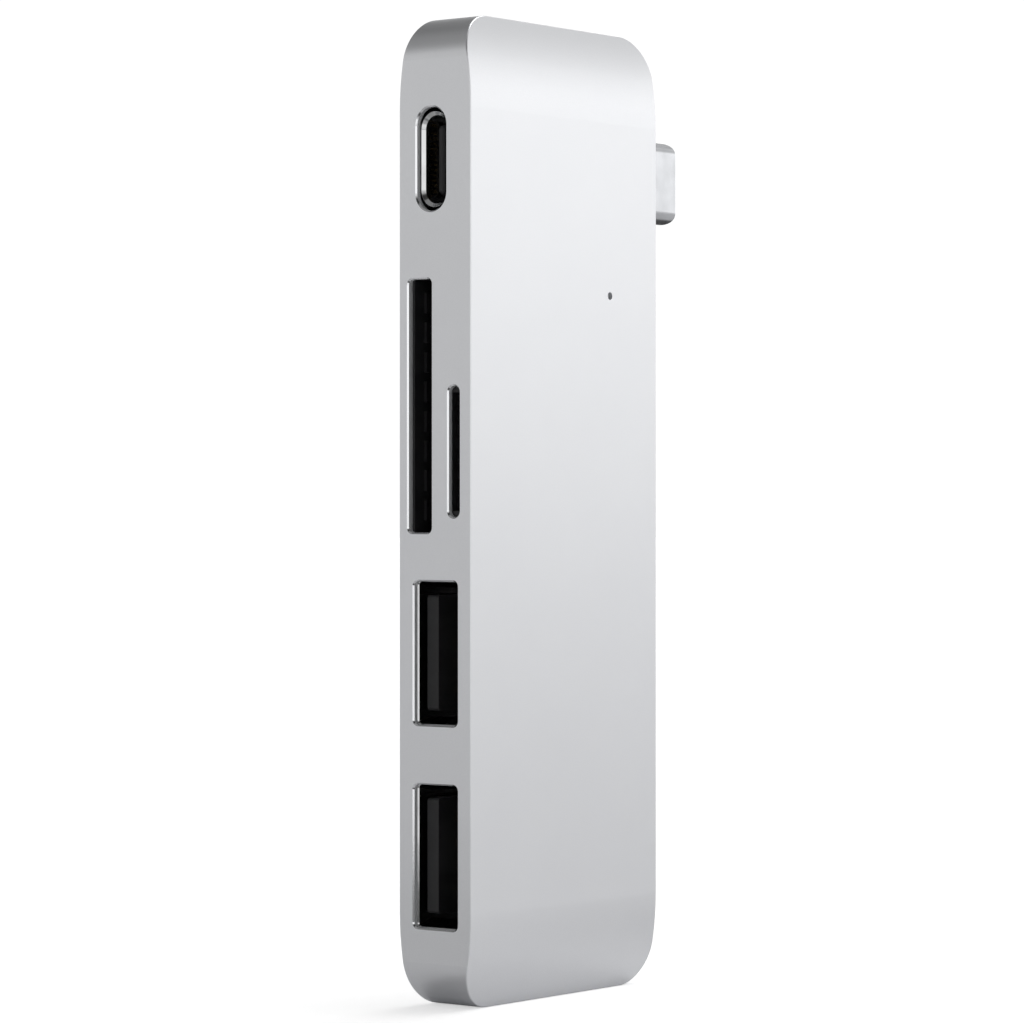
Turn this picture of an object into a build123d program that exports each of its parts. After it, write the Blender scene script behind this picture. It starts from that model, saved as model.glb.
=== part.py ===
"""USB-C hub in an aluminium housing, standing on its end.

Millimetres. +Z runs up the long side of the housing, +X points from the port side to the
plug side, and -Y is the broad front face with the status lamp. The origin is the centre
of the bottom end face.

Most places are given as a depth in from the port side's face (x_at turns it into X),
as a height Z above the bottom end, or as Y, measured from the middle of the thickness.
"""

import math
import os

from build123d import *

os.makedirs("parts", exist_ok=True)

# --- Housing -----------------------------------------------------------------------
WIDTH = 30.0  # port side to plug side
THICKNESS = 8.8  # front face to back face
LENGTH = 95.0  # end to end
CORNER_RADIUS = 4.3  # corners seen from the front
ROLL_RADIUS = 29.6  # both broad faces roll off towards the ends on this radius
ROLL_RISE = 9.06  # over this length
SKIN = 1.0  # front face and back cover
WALL = 1.2  # side and end walls
PORT_WALL = 0.6  # what is left of the side wall in front of a socket
RIM = 0.8  # wall around the inset back cover
GLUE = 0.1  # adhesive under the back cover
GLUE_OVERHANG = 0.3  # how far it reaches in past the walls
COVER_GAP = 0.08  # parting line around the back cover
PORT_EDGE = 0.14  # polished chamfer around each port opening
EDGE_BREAK = 0.15  # rounding between the broad faces and the walls
CLEARANCE = 0.08  # between a socket and the housing

# --- Board -------------------------------------------------------------------------
BOARD_FRONT = -1.2
BOARD_BACK = -0.2
BOARD_MARGIN = 0.45  # board edge to the inner wall
BOSS_RADIUS = 1.5
BOSS_HOLE_RADIUS = 0.72
SCREW_RADIUS = 0.7
SCREW_HEAD_RADIUS = 1.25
SCREW_HEAD_HEIGHT = 0.6
BOSS_PLACES = [(-11.0, 4.3), (11.0, 4.3), (-11.0, 90.7), (11.0, 90.7)]  # X, Z

# --- Ports: centre Z and Y, opening height, thickness and corner radius, and the height
# and thickness of the pocket behind the opening ------------------------------------------
USB_C_Z, USB_C_Y = 81.2, 0.48
SD_Z, SD_Y = 57.6, 1.88
MICROSD_Z, MICROSD_Y = 53.2, -2.3
USB_A_Y = -0.06
USB_A_HEIGHTS = {"upper": 33.95, "lower": 14.5}
PORT_OPENINGS = [
    (USB_C_Z, USB_C_Y, 9.95, 3.56, 1.77, 10.6, 4.0),
    (SD_Z, SD_Y, 24.28, 2.81, 0.5, 26.6, 4.4),
    (MICROSD_Z, MICROSD_Y, 12.52, 1.3, 0.64, 16.8, 2.3),
] + [(z, USB_A_Y, 13.75, 5.31, 0.5, 14.6, 6.4) for z in USB_A_HEIGHTS.values()]
SOCKET_FRONT = PORT_WALL + 0.05  # depth of every socket's front end

# --- USB-C receptacle and plug --------------------------------------------------------
USB_C_SIZE = (8.34, 2.56)  # opening of the receptacle shell
PLUG_SIZE = (8.34, 2.5)  # outside of the plug shell
USB_C_SHEET = 0.3
USB_C_LIP = 0.4  # the shell stands this far out around its bore at the mouth
USB_C_BEVEL = 0.3
USB_C_LIP_DEPTH = 0.8  # behind its bevel the mouth narrows to the bore over this
USB_C_DEPTH = 7.9
USB_C_PITCH = 0.5
USB_C_CONTACTS = 12
TONGUE_TIP = 1.55
TONGUE_NOSE = 0.15  # chamfer around the tongue's tip
TONGUE_HALF = 0.35
PLUG_Z, PLUG_Y = 81.0, -0.7
PLUG_REACH = 6.7  # how far the plug stands out of the housing
PLUG_ROOT = 3.2  # how far its shell runs on inside the housing's face
PLUG_TIP_RADIUS = 0.9
PLUG_SHEET = 0.25
PLUG_INSIDE = (PLUG_SIZE[0] - 2 * PLUG_SHEET, PLUG_SIZE[1] - 2 * PLUG_SHEET)

# --- USB-A receptacles ----------------------------------------------------------------
USB_A_INSIDE = (5.12, 12.5)
USB_A_SHEET = 0.28
USB_A_SHELL_Y = -0.01
USB_A_DEPTH = 14.3
USB_A_BLOCK = 9.6  # depth at which the insulator fills the shell
USB_A_FLARE = 0.6  # how far the long sides of the mouth spread at each end
USB_A_FLARE_DEPTH = 3.2
USB_A_BEVEL = 0.17
USB_A_PAD = (4.3, 5.6)  # depth of the fixed contacts' pads
USB_A_BOW = [(4.4, 0.0), (5.3, 0.42), (6.0, 0.42), (8.8, 0.0)]  # sprung contact: depth, rise
USB_A_TONGUE = (0.47, 1.85)  # Y from the contact side to the plain side
USB_A_TONGUE_WIDTH = 11.1
USB_A_TONGUE_TIP = 1.2

# --- SD and microSD sockets -------------------------------------------------------------
SD_DEPTH = 20.6
SD_CHANNEL = 24.2
SD_FLOOR, SD_ROOF, SD_COVER_SHEET = 0.5, 2.99, 0.2
SD_LIP_DEPTH = 5.0  # the insulator closes the mouth all round to here
SD_RIBS = (8, 2.85, 2.0, 0.3, (2.1, 5.0))  # guide ribs: count, pitch, height, rise, depths
MICROSD_DEPTH = 17.5
MICROSD_CHANNEL = 11.3
MICROSD_FLOOR, MICROSD_ROOF, MICROSD_COVER_SHEET = -1.65, -2.95, 0.15
MICROSD_RIBS = (8, 1.39, 0.87, 0.06, (1.45, 2.1))
EJECT_TRAVEL = 1.5
SLIDER_Z = 46.3  # middle of the ejector's channel
SLIDER_FRONT, SLIDER_BACK = 8.6, 12.6

LED_X, LED_Z = 7.16, 68.86
PINHOLE_RADIUS = 0.375


def x_at(depth):
    """X of a depth in from the port side's face."""
    return depth - WIDTH / 2


def save(builder, name):
    builder.part.label = name
    export_step(builder.part, f"parts/{name}.step")


def block(x, y, z, mode=Mode.ADD):
    """A rectangular block between two X, two Y and two Z values, in the part being built."""
    with Locations(((x[0] + x[1]) / 2, (y[0] + y[1]) / 2, (z[0] + z[1]) / 2)):
        Box(abs(x[1] - x[0]), abs(y[1] - y[0]), abs(z[1] - z[0]), mode=mode)


def row(middle, count, pitch):
    """Places of evenly spaced things in a row about a middle."""
    return [middle + (i - (count - 1) / 2) * pitch for i in range(count)]


def guide_ribs(middle, wall, ribs):
    """A row of ribs that stand out from a card slot's far wall, towards the front."""
    count, pitch, height, rise, depths = ribs
    for z in row(middle, count, pitch):
        block(
            (x_at(depths[0]), x_at(depths[1])),
            (wall, wall - rise),
            (z - height / 2, z + height / 2),
        )


def facing_front(y):
    """The plane at Y = y that looks out of the front face: its own axes are X and Z."""
    return Plane.XZ.offset(-y)


def rolled_outline(inset=0.0, end_inset=0.0):
    """The housing's outline in Y and Z, moved in from its broad faces and its two ends."""
    half, low, high = THICKNESS / 2 - inset, end_inset, LENGTH - end_inset
    radius, rise = ROLL_RADIUS - inset, ROLL_RISE - end_inset
    drop = radius - math.sqrt(radius**2 - rise**2)
    with BuildSketch(Plane.YZ) as outline:
        with BuildLine():
            bottom = Line((-half + drop, low), (half - drop, low))
            back = Line((half, ROLL_RISE), (half, LENGTH - ROLL_RISE))
            top = Line((half - drop, high), (-half + drop, high))
            front = Line((-half, LENGTH - ROLL_RISE), (-half, ROLL_RISE))
            TangentArc(back @ 0, bottom @ 1, tangent=(0, -1))
            TangentArc(back @ 1, top @ 0, tangent=(0, 1))
            TangentArc(front @ 0, top @ 1, tangent=(0, 1))
            TangentArc(front @ 1, bottom @ 0, tangent=(0, -1))
        make_face()
    return outline.sketch


def plan_outline(inset, mode=Mode.ADD):
    """The housing's outline seen from the front, moved in all round."""
    size = (WIDTH - 2 * inset, LENGTH - 2 * inset)
    with Locations((0, LENGTH / 2)):
        RectangleRounded(*size, CORNER_RADIUS - inset, mode=mode)


def outer_edges(body):
    """The two loops of edges that part the broad, rolled-off faces from the walls."""
    broad = body.faces().filter_by(lambda face: abs(face.normal_at().Y) > 0.5)
    edges = [edge for face in broad for edge in face.edges()]
    return [edge for edge in edges if sum(edge.is_same(other) for other in edges) == 1]


def rounded_opening(height, thickness, radius):
    RectangleRounded(thickness, height, min(radius, thickness / 2 - 0.01))


# === Housing =============================================================================
glue_inset = SKIN + GLUE

with BuildPart() as top_housing:
    with BuildSketch(Plane.XZ):
        plan_outline(0)
    extrude(amount=THICKNESS / 2, both=True)
    extrude(rolled_outline(), amount=WIDTH, both=True, mode=Mode.INTERSECT)
    fillet(outer_edges(top_housing), EDGE_BREAK)
    # The room inside: the side walls stay, and the front face keeps its skin.
    with BuildPart(mode=Mode.PRIVATE) as room:
        with BuildSketch(Plane.XZ):
            plan_outline(WALL)
        extrude(amount=THICKNESS, both=True)
        extrude(rolled_outline(SKIN), amount=WIDTH, both=True, mode=Mode.INTERSECT)
    add(room.part, mode=Mode.SUBTRACT)
    # The seat of the back cover: a ledge that follows the rolled-off face.
    with BuildPart(mode=Mode.PRIVATE) as cover_seat:
        with BuildSketch(Plane.XZ):
            plan_outline(RIM)
        extrude(amount=-THICKNESS)
        extrude(rolled_outline(glue_inset, -1.0), amount=WIDTH, both=True, mode=Mode.SUBTRACT)
    add(cover_seat.part, mode=Mode.SUBTRACT)
    # Screw bosses on the inside of the front face.
    with BuildSketch(facing_front(BOARD_FRONT)):
        with Locations(*BOSS_PLACES):
            Circle(BOSS_RADIUS)
    extrude(amount=BOARD_FRONT + THICKNESS / 2 - SKIN)
    with BuildSketch(facing_front(BOARD_FRONT)):
        with Locations(*BOSS_PLACES):
            Circle(BOSS_HOLE_RADIUS)
    extrude(amount=1.6, mode=Mode.SUBTRACT)
    # The port side: a pocket behind each opening, the opening, and its polished edge.
    for z, y, height, thickness, radius, pocket_height, pocket_thickness in PORT_OPENINGS:
        pocket_y = (
            max(y - pocket_thickness / 2, -THICKNESS / 2 + SKIN),
            min(y + pocket_thickness / 2, THICKNESS / 2 - glue_inset),
        )
        pocket_z = (z - pocket_height / 2, z + pocket_height / 2)
        block((x_at(PORT_WALL), x_at(WALL + 0.1)), pocket_y, pocket_z, Mode.SUBTRACT)
        with BuildSketch(Plane.YZ.offset(x_at(-1))):
            with Locations((y, z)):
                rounded_opening(height, thickness, radius)
        extrude(amount=PORT_WALL + 1.5, mode=Mode.SUBTRACT)
        with BuildSketch(Plane.YZ.offset(x_at(0))):
            with Locations((y, z)):
                rounded_opening(
                    height + 2 * PORT_EDGE, thickness + 2 * PORT_EDGE, radius + PORT_EDGE
                )
        with BuildSketch(Plane.YZ.offset(x_at(PORT_EDGE))):
            with Locations((y, z)):
                rounded_opening(height, thickness, radius)
        loft(mode=Mode.SUBTRACT)
    # The plug's way out, and the pinhole of the status lamp.
    with BuildSketch(Plane.YZ.offset(WIDTH / 2 - WALL - 0.5)):
        with Locations((PLUG_Y, PLUG_Z)):
            SlotOverall(
                PLUG_SIZE[0] + 2 * CLEARANCE, PLUG_SIZE[1] + 2 * CLEARANCE, rotation=90
            )
    extrude(amount=WALL + 1, mode=Mode.SUBTRACT)
    with BuildSketch(facing_front(-THICKNESS / 2 + SKIN + 0.5)):
        with Locations((LED_X, LED_Z)):
            Circle(PINHOLE_RADIUS)
    extrude(amount=SKIN + 1, mode=Mode.SUBTRACT)
save(top_housing, "top_housing")

with BuildPart() as back_cover:
    with BuildSketch(Plane.XZ):
        plan_outline(RIM + COVER_GAP)
    extrude(amount=-THICKNESS / 2)
    extrude(rolled_outline(), amount=WIDTH, both=True, mode=Mode.INTERSECT)
    extrude(rolled_outline(SKIN, -1.0), amount=WIDTH, both=True, mode=Mode.SUBTRACT)
save(back_cover, "back_cover")

with BuildPart() as cover_adhesive:
    with BuildSketch(Plane.XZ):
        plan_outline(RIM + COVER_GAP)
        plan_outline(WALL + GLUE_OVERHANG, Mode.SUBTRACT)
    extrude(amount=-THICKNESS / 2)
    extrude(rolled_outline(SKIN), amount=WIDTH, both=True, mode=Mode.INTERSECT)
    extrude(rolled_outline(glue_inset, -1.0), amount=WIDTH, both=True, mode=Mode.SUBTRACT)
save(cover_adhesive, "cover_adhesive")

FILM_BACK = THICKNESS / 2 - SKIN
with BuildPart() as insulating_film:
    with BuildSketch(facing_front(FILM_BACK)):
        with Locations((0, LENGTH / 2)):
            RectangleRounded(WIDTH - 6, LENGTH - 2 * ROLL_RISE - 2, 1.5)
    extrude(amount=GLUE)
save(insulating_film, "insulating_film")

# === Board ================================================================================
USB_C_CUT = (x_at(0), x_at(8.0), USB_C_Z - 4.75, USB_C_Z + 4.75)
PLUG_CUT = (x_at(25.4), x_at(WIDTH), PLUG_Z - 4.6, PLUG_Z + 4.6)
USB_A_CUTS = [
    (x_at(0), x_at(USB_A_DEPTH + 0.1), z - 7.15, z + 7.15)
    for z in USB_A_HEIGHTS.values()
]

with BuildPart() as main_board:
    with BuildSketch(facing_front(BOARD_BACK)):
        plan_outline(WALL + BOARD_MARGIN)
        for x0, x1, z0, z1 in [USB_C_CUT, PLUG_CUT, *USB_A_CUTS]:
            with Locations(((x0 + x1) / 2, (z0 + z1) / 2)):
                Rectangle(x1 - x0, z1 - z0, mode=Mode.SUBTRACT)
        with Locations(*BOSS_PLACES):
            Circle(SCREW_RADIUS + 0.1, mode=Mode.SUBTRACT)
    extrude(amount=BOARD_BACK - BOARD_FRONT)
save(main_board, "main_board")

with BuildPart() as board_screws:
    for x, z in BOSS_PLACES:
        with BuildSketch(facing_front(BOARD_BACK)):
            with Locations((x, z)):
                Circle(SCREW_HEAD_RADIUS)
        extrude(amount=-SCREW_HEAD_HEIGHT)
        with BuildSketch(facing_front(BOARD_BACK)):
            with Locations((x, z)):
                Circle(SCREW_RADIUS)
        extrude(amount=2.3)
        with BuildSketch(facing_front(BOARD_BACK + SCREW_HEAD_HEIGHT)):
            with Locations((x, z)):
                Rectangle(1.4, 0.3)
                Rectangle(0.3, 1.4)
        extrude(amount=0.35, mode=Mode.SUBTRACT)
save(board_screws, "board_screws")


def chip(name, size, places, pin_one=True):
    """Flat chips of one size on the back of the board: size is X, Z, height."""
    with BuildPart() as chips:
        for x, z in places:
            top = BOARD_BACK + size[2]
            block(
                (x - size[0] / 2, x + size[0] / 2),
                (BOARD_BACK, top),
                (z - size[1] / 2, z + size[1] / 2),
            )
            if pin_one:
                with Locations(Location((x - size[0] * 0.34, top, z + size[1] * 0.34))):
                    Cylinder(0.25, 0.1, rotation=(90, 0, 0), mode=Mode.SUBTRACT)
    save(chips, name)


def passives(name, size, places, side=1):
    """Two-terminal parts: a body with a slightly fuller cap at each end along Z."""
    with BuildPart() as parts:
        for x, z in places:
            base = BOARD_BACK if side > 0 else BOARD_FRONT
            cap = size[1] * 0.22
            half = size[1] / 2
            block(
                (x - size[0] * 0.46, x + size[0] * 0.46),
                (base, base + side * size[2] * 0.94),
                (z - half + cap, z + half - cap),
            )
            for end in (-1, 1):
                block(
                    (x - size[0] / 2, x + size[0] / 2),
                    (base, base + side * size[2]),
                    (z + end * half, z + end * (half - cap)),
                )
    save(parts, name)


HUB_CHIP_HEIGHT = 0.85
HUB_CHIP_PLACE = (6.6, 23.5)
chip("hub_controller", (7.0, 7.0, HUB_CHIP_HEIGHT), [HUB_CHIP_PLACE])
chip("card_reader_controller", (5.0, 5.0, 0.85), [(9.9, 51.5)])
chip("power_controller", (5.0, 5.0, 0.85), [(0.4, 84.5)])
chip("power_switches", (3.0, 3.0, 0.9), [(-2.2, 76.0), (2.2, 76.0)])
chip("surge_arrays", (1.0, 2.5, 0.5), [(2.4, z) for z in (10.0, 13.5, 30.0, 33.5)])
chip("crystals", (2.5, 3.2, 0.7), [(6.6, 16.4), (9.9, 57.6)], pin_one=False)
passives("inductors", (3.0, 3.0, 1.5), [(5.6, 73.5), (9.9, 73.5), (9.9, 69.4)])
passives("polymer_fuses", (2.0, 3.2, 0.6), [(5.2, 9.0), (5.2, 36.0)])
passives(
    "ceramic_capacitors",
    (0.8, 1.6, 0.8),
    [(x, z) for x in (8.6, 10.4, 12.2) for z in (10.0, 12.6, 30.2, 33.0, 36.0, 39.0, 42.0)],
)
passives(
    "chip_resistors",
    (0.5, 1.0, 0.35),
    [(x, z) for x in (7.6, 9.2, 10.8, 12.4) for z in (46.2, 61.5, 64.2)]
    + [(x, z) for x in (-4.6, 5.0) for z in (80.4, 82.6, 84.8, 87.0)],
)

with BuildPart() as thermal_pad:
    x, z = HUB_CHIP_PLACE
    block(
        (x - 3.2, x + 3.2), (BOARD_BACK + HUB_CHIP_HEIGHT, FILM_BACK - GLUE), (z - 3.2, z + 3.2)
    )
save(thermal_pad, "thermal_pad")

# === Status lamp ==========================================================================
LED_TOP = BOARD_FRONT - 0.55
with BuildPart() as status_led:
    across = (LED_X - 0.4, LED_X + 0.4)
    block(across, (BOARD_FRONT, BOARD_FRONT - 0.2), (LED_Z - 0.8, LED_Z + 0.8))
    block(across, (BOARD_FRONT - 0.2, LED_TOP), (LED_Z - 0.45, LED_Z + 0.45))
save(status_led, "status_led")

with BuildPart() as light_pipe:
    inner_skin = -THICKNESS / 2 + SKIN
    with BuildSketch(facing_front(LED_TOP - 0.05)):
        with Locations((LED_X, LED_Z)):
            Circle(0.9)
    extrude(amount=LED_TOP - 0.05 - inner_skin)
    with BuildSketch(facing_front(inner_skin)):
        with Locations((LED_X, LED_Z)):
            Circle(PINHOLE_RADIUS - 0.01)
    extrude(amount=SKIN - 0.3)
save(light_pipe, "light_pipe")


# === USB-C receptacle =======================================================================
def slot_face(size, grow=0.0):
    """A slot with round ends, upright, of the given height and thickness."""
    SlotOverall(size[0] + 2 * grow, size[1] + 2 * grow, rotation=90)


def usb_c_row(side, name):
    """One row of twelve contacts: along the tongue, then down to feet on the board."""
    face = USB_C_Y + side * TONGUE_HALF
    inner = face - side * 0.12
    heel = 8.15 if side < 0 else 9.25
    foot_end = heel + 0.75
    with BuildPart() as contacts:
        for z in row(USB_C_Z, USB_C_CONTACTS, USB_C_PITCH):
            zs = (z - 0.125, z + 0.125)
            block((x_at(TONGUE_TIP + 0.8), x_at(heel)), (face, inner), zs)
            block((x_at(heel - 0.12), x_at(heel)), (BOARD_BACK, max(face, inner)), zs)
            block((x_at(heel - 0.12), x_at(foot_end)), (BOARD_BACK, BOARD_BACK + 0.12), zs)
    save(contacts, name)
    return contacts.part


usb_c_front = usb_c_row(-1, "usb_c_contacts_front")
usb_c_back = usb_c_row(1, "usb_c_contacts_back")

with BuildPart() as usb_c_mid_plate:
    block(
        (x_at(TONGUE_TIP + 0.25), x_at(USB_C_DEPTH - 0.4)),
        (USB_C_Y - 0.06, USB_C_Y + 0.06),
        (USB_C_Z - 3.0, USB_C_Z + 3.0),
    )
save(usb_c_mid_plate, "usb_c_mid_plate")

with BuildPart() as usb_c_insulator:
    with BuildSketch(Plane.YZ.offset(x_at(4.3))):
        with Locations((USB_C_Y, USB_C_Z)):
            slot_face(USB_C_SIZE, -0.01)
    extrude(amount=USB_C_DEPTH - 4.3)
    # The tongue, thicker at its root and with rounded front corners.
    with BuildSketch(facing_front(USB_C_Y + TONGUE_HALF)):
        with Locations(((x_at(TONGUE_TIP) + x_at(4.4)) / 2, USB_C_Z)):
            Rectangle(4.4 - TONGUE_TIP, 6.69)
        fillet(vertices().group_by(Axis.X)[0], 0.5)
    extrude(amount=2 * TONGUE_HALF)
    nose = usb_c_insulator.faces().sort_by(Axis.X)[0]
    chamfer(nose.edges().filter_by(Axis.Z), TONGUE_NOSE)
    root = (USB_C_Y - 0.62, USB_C_Y + 0.62)
    block((x_at(3.6), x_at(4.4)), root, (USB_C_Z - 3.6, USB_C_Z + 3.6))
    for inlay in (usb_c_front, usb_c_back, usb_c_mid_plate.part):
        add(inlay, mode=Mode.SUBTRACT)
save(usb_c_insulator, "usb_c_insulator")

with BuildPart() as usb_c_shell:
    with BuildSketch(Plane.YZ.offset(x_at(SOCKET_FRONT))):
        with Locations((USB_C_Y, USB_C_Z)):
            slot_face(USB_C_SIZE, USB_C_SHEET)
    extrude(amount=USB_C_DEPTH - SOCKET_FRONT)
    with BuildSketch(Plane.YZ.offset(x_at(SOCKET_FRONT))):
        with Locations((USB_C_Y, USB_C_Z)):
            slot_face(USB_C_SIZE, USB_C_LIP)
    extrude(amount=USB_C_LIP_DEPTH + 0.2)
    # Solder tabs that lie on the board, beside its cut-out.
    for side in (-1, 1):
        z = USB_C_Z + side * (USB_C_SIZE[0] / 2 + USB_C_SHEET)
        for x in (3.2, 6.2):
            block(
                (x_at(x), x_at(x + 1.0)),
                (BOARD_BACK, BOARD_BACK + 0.3),
                (z - side * 0.25, z + side * 1.1),
            )
    with BuildSketch(Plane.YZ.offset(x_at(0))):
        with Locations((USB_C_Y, USB_C_Z)):
            slot_face(USB_C_SIZE)
    extrude(amount=USB_C_DEPTH + 0.1, mode=Mode.SUBTRACT)
    # The mouth: a bright bevel in front, then a short taper down to the bore.
    with BuildSketch(Plane.YZ.offset(x_at(SOCKET_FRONT))):
        with Locations((USB_C_Y, USB_C_Z)):
            slot_face(USB_C_SIZE, USB_C_LIP - USB_C_BEVEL)
    with BuildSketch(Plane.YZ.offset(x_at(SOCKET_FRONT + USB_C_LIP_DEPTH))):
        with Locations((USB_C_Y, USB_C_Z)):
            slot_face(USB_C_SIZE)
    loft(mode=Mode.SUBTRACT)
    mouth = usb_c_shell.faces().sort_by(Axis.X)[0]
    chamfer(mouth.inner_wires()[0].edges(), USB_C_BEVEL - 0.01)
save(usb_c_shell, "usb_c_shell")


# === USB-A receptacles ======================================================================
def leaf(z, width, points):
    """A bent strip, width wide about a height z, from its outline in X and Y."""
    with BuildSketch(Plane.XY.offset(z - width / 2)) as side_view:
        with BuildLine():
            Polyline(*points, close=True)
        make_face()
    extrude(side_view.sketch, amount=width)


def usb_a_mouth(grow, radius, height):
    """The tube's outline at its mouth, which spreads out in height, and where that ends."""
    outlines = []
    for depth, spread in ((0, USB_A_FLARE), (USB_A_FLARE_DEPTH, 0)):
        with BuildSketch(Plane.YZ.offset(x_at(SOCKET_FRONT + depth))) as outline:
            with Locations((USB_A_SHELL_Y, height)):
                RectangleRounded(
                    USB_A_INSIDE[0] + 2 * grow, USB_A_INSIDE[1] + 2 * (grow + spread), radius
                )
        outlines.append(outline.sketch)
    return outlines


def usb_a_spring(z, strip=0.15):
    """A sprung contact on the tongue, its run through the block and its foot on the board."""
    face = USB_A_TONGUE[0]
    upper = [(depth, face - rise) for depth, rise in USB_A_BOW]
    upper.append((USB_A_DEPTH + strip, face))
    lower = [(depth, y - strip) for depth, y in reversed(upper)]
    leaf(z, 1.0, [(x_at(depth), y) for depth, y in upper + lower])
    zs = (z - 0.5, z + 0.5)
    heel = (x_at(USB_A_DEPTH + strip), x_at(USB_A_DEPTH + 2 * strip))
    block(heel, (BOARD_BACK, face), zs)
    block((heel[0], heel[1] + 1.2), (BOARD_BACK, BOARD_BACK + strip), zs)


def usb_a_strip(z):
    """A fixed contact: a pad near the tongue's tip, a run inside it, and a foot."""
    face = USB_A_TONGUE[0]
    zs = (z - 0.3, z + 0.3)
    block((x_at(USB_A_PAD[0]), x_at(USB_A_PAD[1])), (face, face + 0.35), zs)
    block((x_at(USB_A_PAD[1] - 0.2), x_at(USB_A_DEPTH + 1.5)), (face + 0.23, face + 0.35), zs)
    heel = (x_at(USB_A_DEPTH + 1.5), x_at(USB_A_DEPTH + 1.62))
    block(heel, (BOARD_BACK, face + 0.35), zs)
    block((heel[0], heel[1] + 0.9), (BOARD_BACK, BOARD_BACK + 0.12), zs)


def usb_a_receptacle(name, height):
    with BuildPart() as contacts:
        for offset in (-3.5, -1.0, 1.0, 3.5):
            usb_a_spring(height + offset)
    save(contacts, f"{name}_contacts")

    with BuildPart() as fast_contacts:
        for offset in (-4.0, -2.0, 0.0, 2.0, 4.0):
            usb_a_strip(height + offset)
    save(fast_contacts, f"{name}_fast_contacts")

    middle = USB_A_SHELL_Y
    half_y, half_z = USB_A_INSIDE[0] / 2, USB_A_INSIDE[1] / 2
    with BuildPart() as insulator:
        block(
            (x_at(USB_A_BLOCK), x_at(USB_A_DEPTH)),
            (middle - half_y, middle + half_y),
            (height - half_z, height + half_z),
        )
        with BuildSketch(facing_front(USB_A_TONGUE[1])):
            centre = (USB_A_TONGUE_TIP + USB_A_BLOCK + 0.1) / 2
            with Locations((x_at(centre), height)):
                Rectangle(USB_A_BLOCK + 0.1 - USB_A_TONGUE_TIP, USB_A_TONGUE_WIDTH)
            fillet(vertices().group_by(Axis.X)[0], 0.35)
        extrude(amount=USB_A_TONGUE[1] - USB_A_TONGUE[0])
        add(contacts.part, mode=Mode.SUBTRACT)
        add(fast_contacts.part, mode=Mode.SUBTRACT)
    save(insulator, f"{name}_insulator")

    with BuildPart() as shell:
        with BuildSketch(Plane.YZ.offset(x_at(SOCKET_FRONT))):
            with Locations((middle, height)):
                RectangleRounded(
                    USB_A_INSIDE[0] + 2 * USB_A_SHEET, USB_A_INSIDE[1] + 2 * USB_A_SHEET, 0.6
                )
        extrude(amount=USB_A_DEPTH - SOCKET_FRONT)
        loft(usb_a_mouth(USB_A_SHEET, 0.6, height))
        # Solder tabs that lie on the board, beside its cut-out.
        for side in (-1, 1):
            z = height + side * (half_z + USB_A_SHEET)
            for x in (4.6, 11.0):
                block(
                    (x_at(x), x_at(x + 1.6)),
                    (BOARD_BACK, BOARD_BACK + USB_A_SHEET),
                    (z - side * 0.2, z + side * 1.3),
                )
        with BuildSketch(Plane.YZ.offset(x_at(0))):
            with Locations((middle, height)):
                Rectangle(*USB_A_INSIDE)
        extrude(amount=USB_A_DEPTH + 0.1, mode=Mode.SUBTRACT)
        loft(usb_a_mouth(0, 0.35, height), mode=Mode.SUBTRACT)
        mouth = shell.faces().sort_by(Axis.X)[0]
        chamfer(mouth.inner_wires()[0].edges(), USB_A_BEVEL)
    save(shell, f"{name}_shell")


for level, z in USB_A_HEIGHTS.items():
    usb_a_receptacle(f"usb_a_{level}", z)

# === SD socket ==============================================================================
SD_HALF = SD_CHANNEL / 2
SD_RAIL = 0.9
SD_PITCH = 2.5
SD_SPRINGS = 9

SD_SPRING_Z = row(SD_Z, SD_SPRINGS, SD_PITCH)
SD_SWITCH_Z = SD_Z + SD_HALF

with BuildPart() as sd_contacts:
    for z in SD_SPRING_Z:
        strip = 0.15
        floor = SD_FLOOR
        upper = [(13.0, floor - 0.25), (14.4, floor + 0.55), (14.9, floor + 0.55)]
        upper += [(17.6, floor - strip), (SD_DEPTH + strip, floor - strip)]
        lower = [(depth, y - strip) for depth, y in reversed(upper)]
        leaf(z, 0.8, [(x_at(depth), y) for depth, y in upper + lower])
        heel = (x_at(SD_DEPTH), x_at(SD_DEPTH + 0.15))
        block(heel, (BOARD_BACK, floor - strip), (z - 0.4, z + 0.4))
        block((heel[0], heel[1] + 1.0), (BOARD_BACK, BOARD_BACK + strip), (z - 0.4, z + 0.4))
save(sd_contacts, "sd_contacts")

with BuildPart() as sd_detect_switch:
    arm = (SD_SWITCH_Z - 0.15, SD_SWITCH_Z)
    block((x_at(15.0), x_at(17.5)), (SD_FLOOR + 0.2, SD_FLOOR + 0.5), arm)
    root = (SD_SWITCH_Z, SD_SWITCH_Z + 0.15)
    block((x_at(17.3), x_at(19.9)), (SD_FLOOR + 0.05, SD_FLOOR + 0.8), root)
save(sd_detect_switch, "sd_detect_switch")

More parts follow.
